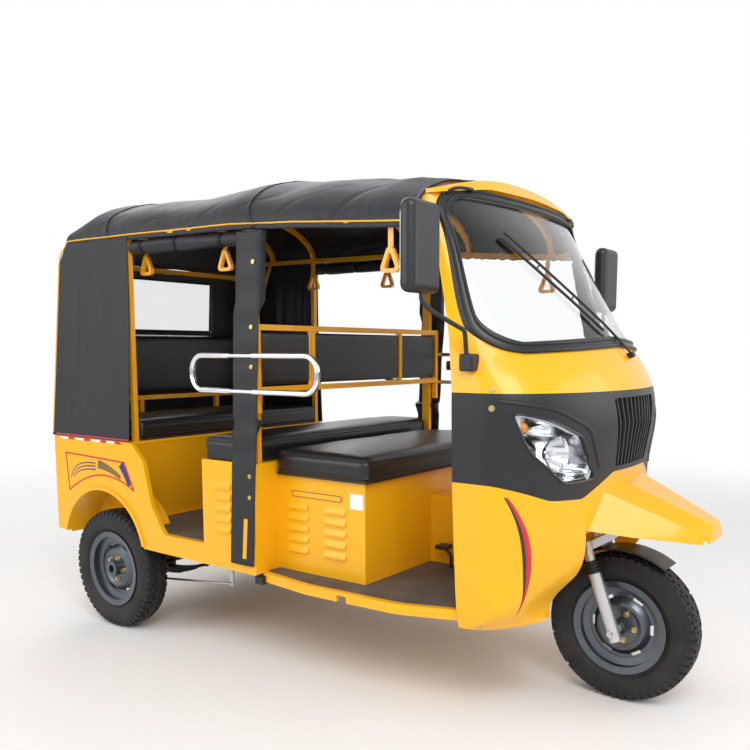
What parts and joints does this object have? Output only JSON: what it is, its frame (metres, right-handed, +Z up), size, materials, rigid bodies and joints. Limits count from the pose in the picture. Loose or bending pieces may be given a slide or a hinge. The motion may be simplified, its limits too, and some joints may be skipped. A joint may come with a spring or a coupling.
{
  "type": "passenger auto rickshaw",
  "caption": "Three-wheeled passenger auto rickshaw with a rounded cab, facing bench seats, canvas canopy, steered front wheel and driven rear axle.",
  "frame": {"origin": "on the ground under the middle of the overall length and width", "axes": "+X forward, +Y to the vehicle's left, +Z up"},
  "size_m": [2.904, 1.664, 1.9979],
  "materials": {
    "tyre": "rubber, ribbed",
    "rim_black": "satin black",
    "fork_silver": "satin",
    "rubber_black": "matt",
    "plastic_black": "satin",
    "bar_black": "gloss black",
    "chassis_black": "satin black",
    "spring_steel": "satin black",
    "engine_grey": "cast",
    "exhaust_steel": "heat dulled",
    "rod_steel": "zinc",
    "body_yellow": "gloss",
    "panel_black": "satin, fine grain",
    "mat_grey": "matt, textured",
    "seat_vinyl": "black vinyl",
    "board_ply": "plywood",
    "chrome": "polished",
    "lamp_bowl": "bright",
    "lamp_lens": "clear",
    "tail_red": "translucent red",
    "glass_clear": "clear",
    "window_film": "clear sheet",
    "gasket_rubber": "satin",
    "mirror": "silvered",
    "canvas_black": "coated canvas",
    "tube_yellow": "gloss",
    "strap_yellow": "gloss"
  },
  "bodies": {
    "chassis": {"chassis_frame": "chassis_black", "leaf_springs": "spring_steel", "rear_axle": "chassis_black", "engine_block": "engine_grey", "prop_shaft": "chassis_black", "exhaust": "exhaust_steel", "brake_rod": "rod_steel", "body_side_left": "body_yellow", "body_side_right": "body_yellow", "rear_floor": "body_yellow", "rear_panel": "body_yellow", "tail_lamps": "tail_red", "rear_bench": "body_yellow", "rear_backrest_frame": "tube_yellow", "rear_backrest": "seat_vinyl", "middle_seat_box": "body_yellow", "middle_seat_cushion": "seat_vinyl", "driver_seat_box": "body_yellow", "front_floor": "body_yellow", "floor_mats": "mat_grey", "foot_pedal": "bar_black", "backrest_frame": "tube_yellow", "backrest_pads": "seat_vinyl", "side_guards": "chrome", "bulkhead": "body_yellow", "lower_cowl": "body_yellow", "nose_panel": "panel_black", "grille": "plastic_black", "headlamps": "lamp_bowl", "headlamp_lenses": "lamp_lens", "upper_cowl": "body_yellow", "windscreen_gasket": "gasket_rubber", "windscreen": "glass_clear", "wiper": "plastic_black", "front_mudguard": "body_yellow", "mirrors": "plastic_black", "mirror_glass": "mirror", "canopy_frame": "tube_yellow", "canopy_top": "canvas_black", "canopy_rear": "canvas_black", "rear_window": "window_film", "side_curtains": "canvas_black", "grab_handles": "strap_yellow"},
    "steering": {"front_fork": "fork_silver", "fork_boots": "rubber_black", "wheel_guard": "plastic_black", "handlebar": "bar_black", "hand_grips": "rubber_black"},
    "front_wheel": {"front_tyre": "tyre", "front_rim": "rim_black"},
    "rear_wheel_right": {"rear_tyre_right": "tyre", "rear_rim_right": "rim_black"},
    "rear_wheel_left": {"rear_tyre_left": "tyre", "rear_rim_left": "rim_black"},
    "driver_seat": {"driver_seat_lid": "board_ply", "driver_seat_cushion": "seat_vinyl"},
    "rear_seat": {"rear_seat_lid": "board_ply", "rear_seat_cushion": "seat_vinyl"}
  },
  "joints": [
    {"name": "steering_turn", "type": "hinge", "parent": "chassis", "child": "steering", "pos_m": [1.14, 0, 0.2725], "axis": [-0.342, 0, 0.9397], "range_deg": [-38, 38]},
    {"name": "front_wheel_spin", "type": "hinge", "parent": "steering", "child": "front_wheel", "pos_m": [1.14, 0, 0.2725], "axis": [0, 1, 0], "continuous": true},
    {"name": "rear_wheel_right_spin", "type": "hinge", "parent": "chassis", "child": "rear_wheel_right", "pos_m": [-1.044, -0.584, 0.2725], "axis": [0, 1, 0], "continuous": true},
    {"name": "rear_wheel_left_spin", "type": "hinge", "parent": "chassis", "child": "rear_wheel_left", "pos_m": [-1.044, 0.584, 0.2725], "axis": [0, 1, 0], "continuous": true},
    {"name": "driver_seat_lift", "type": "hinge", "parent": "chassis", "child": "driver_seat", "pos_m": [-0.097, 0, 0.838], "axis": [0, -1, 0], "range_deg": [0, 55]},
    {"name": "rear_seat_lift", "type": "hinge", "parent": "chassis", "child": "rear_seat", "pos_m": [-1.268, 0, 0.925], "axis": [0, -1, 0], "range_deg": [0, 48]}
  ]
}
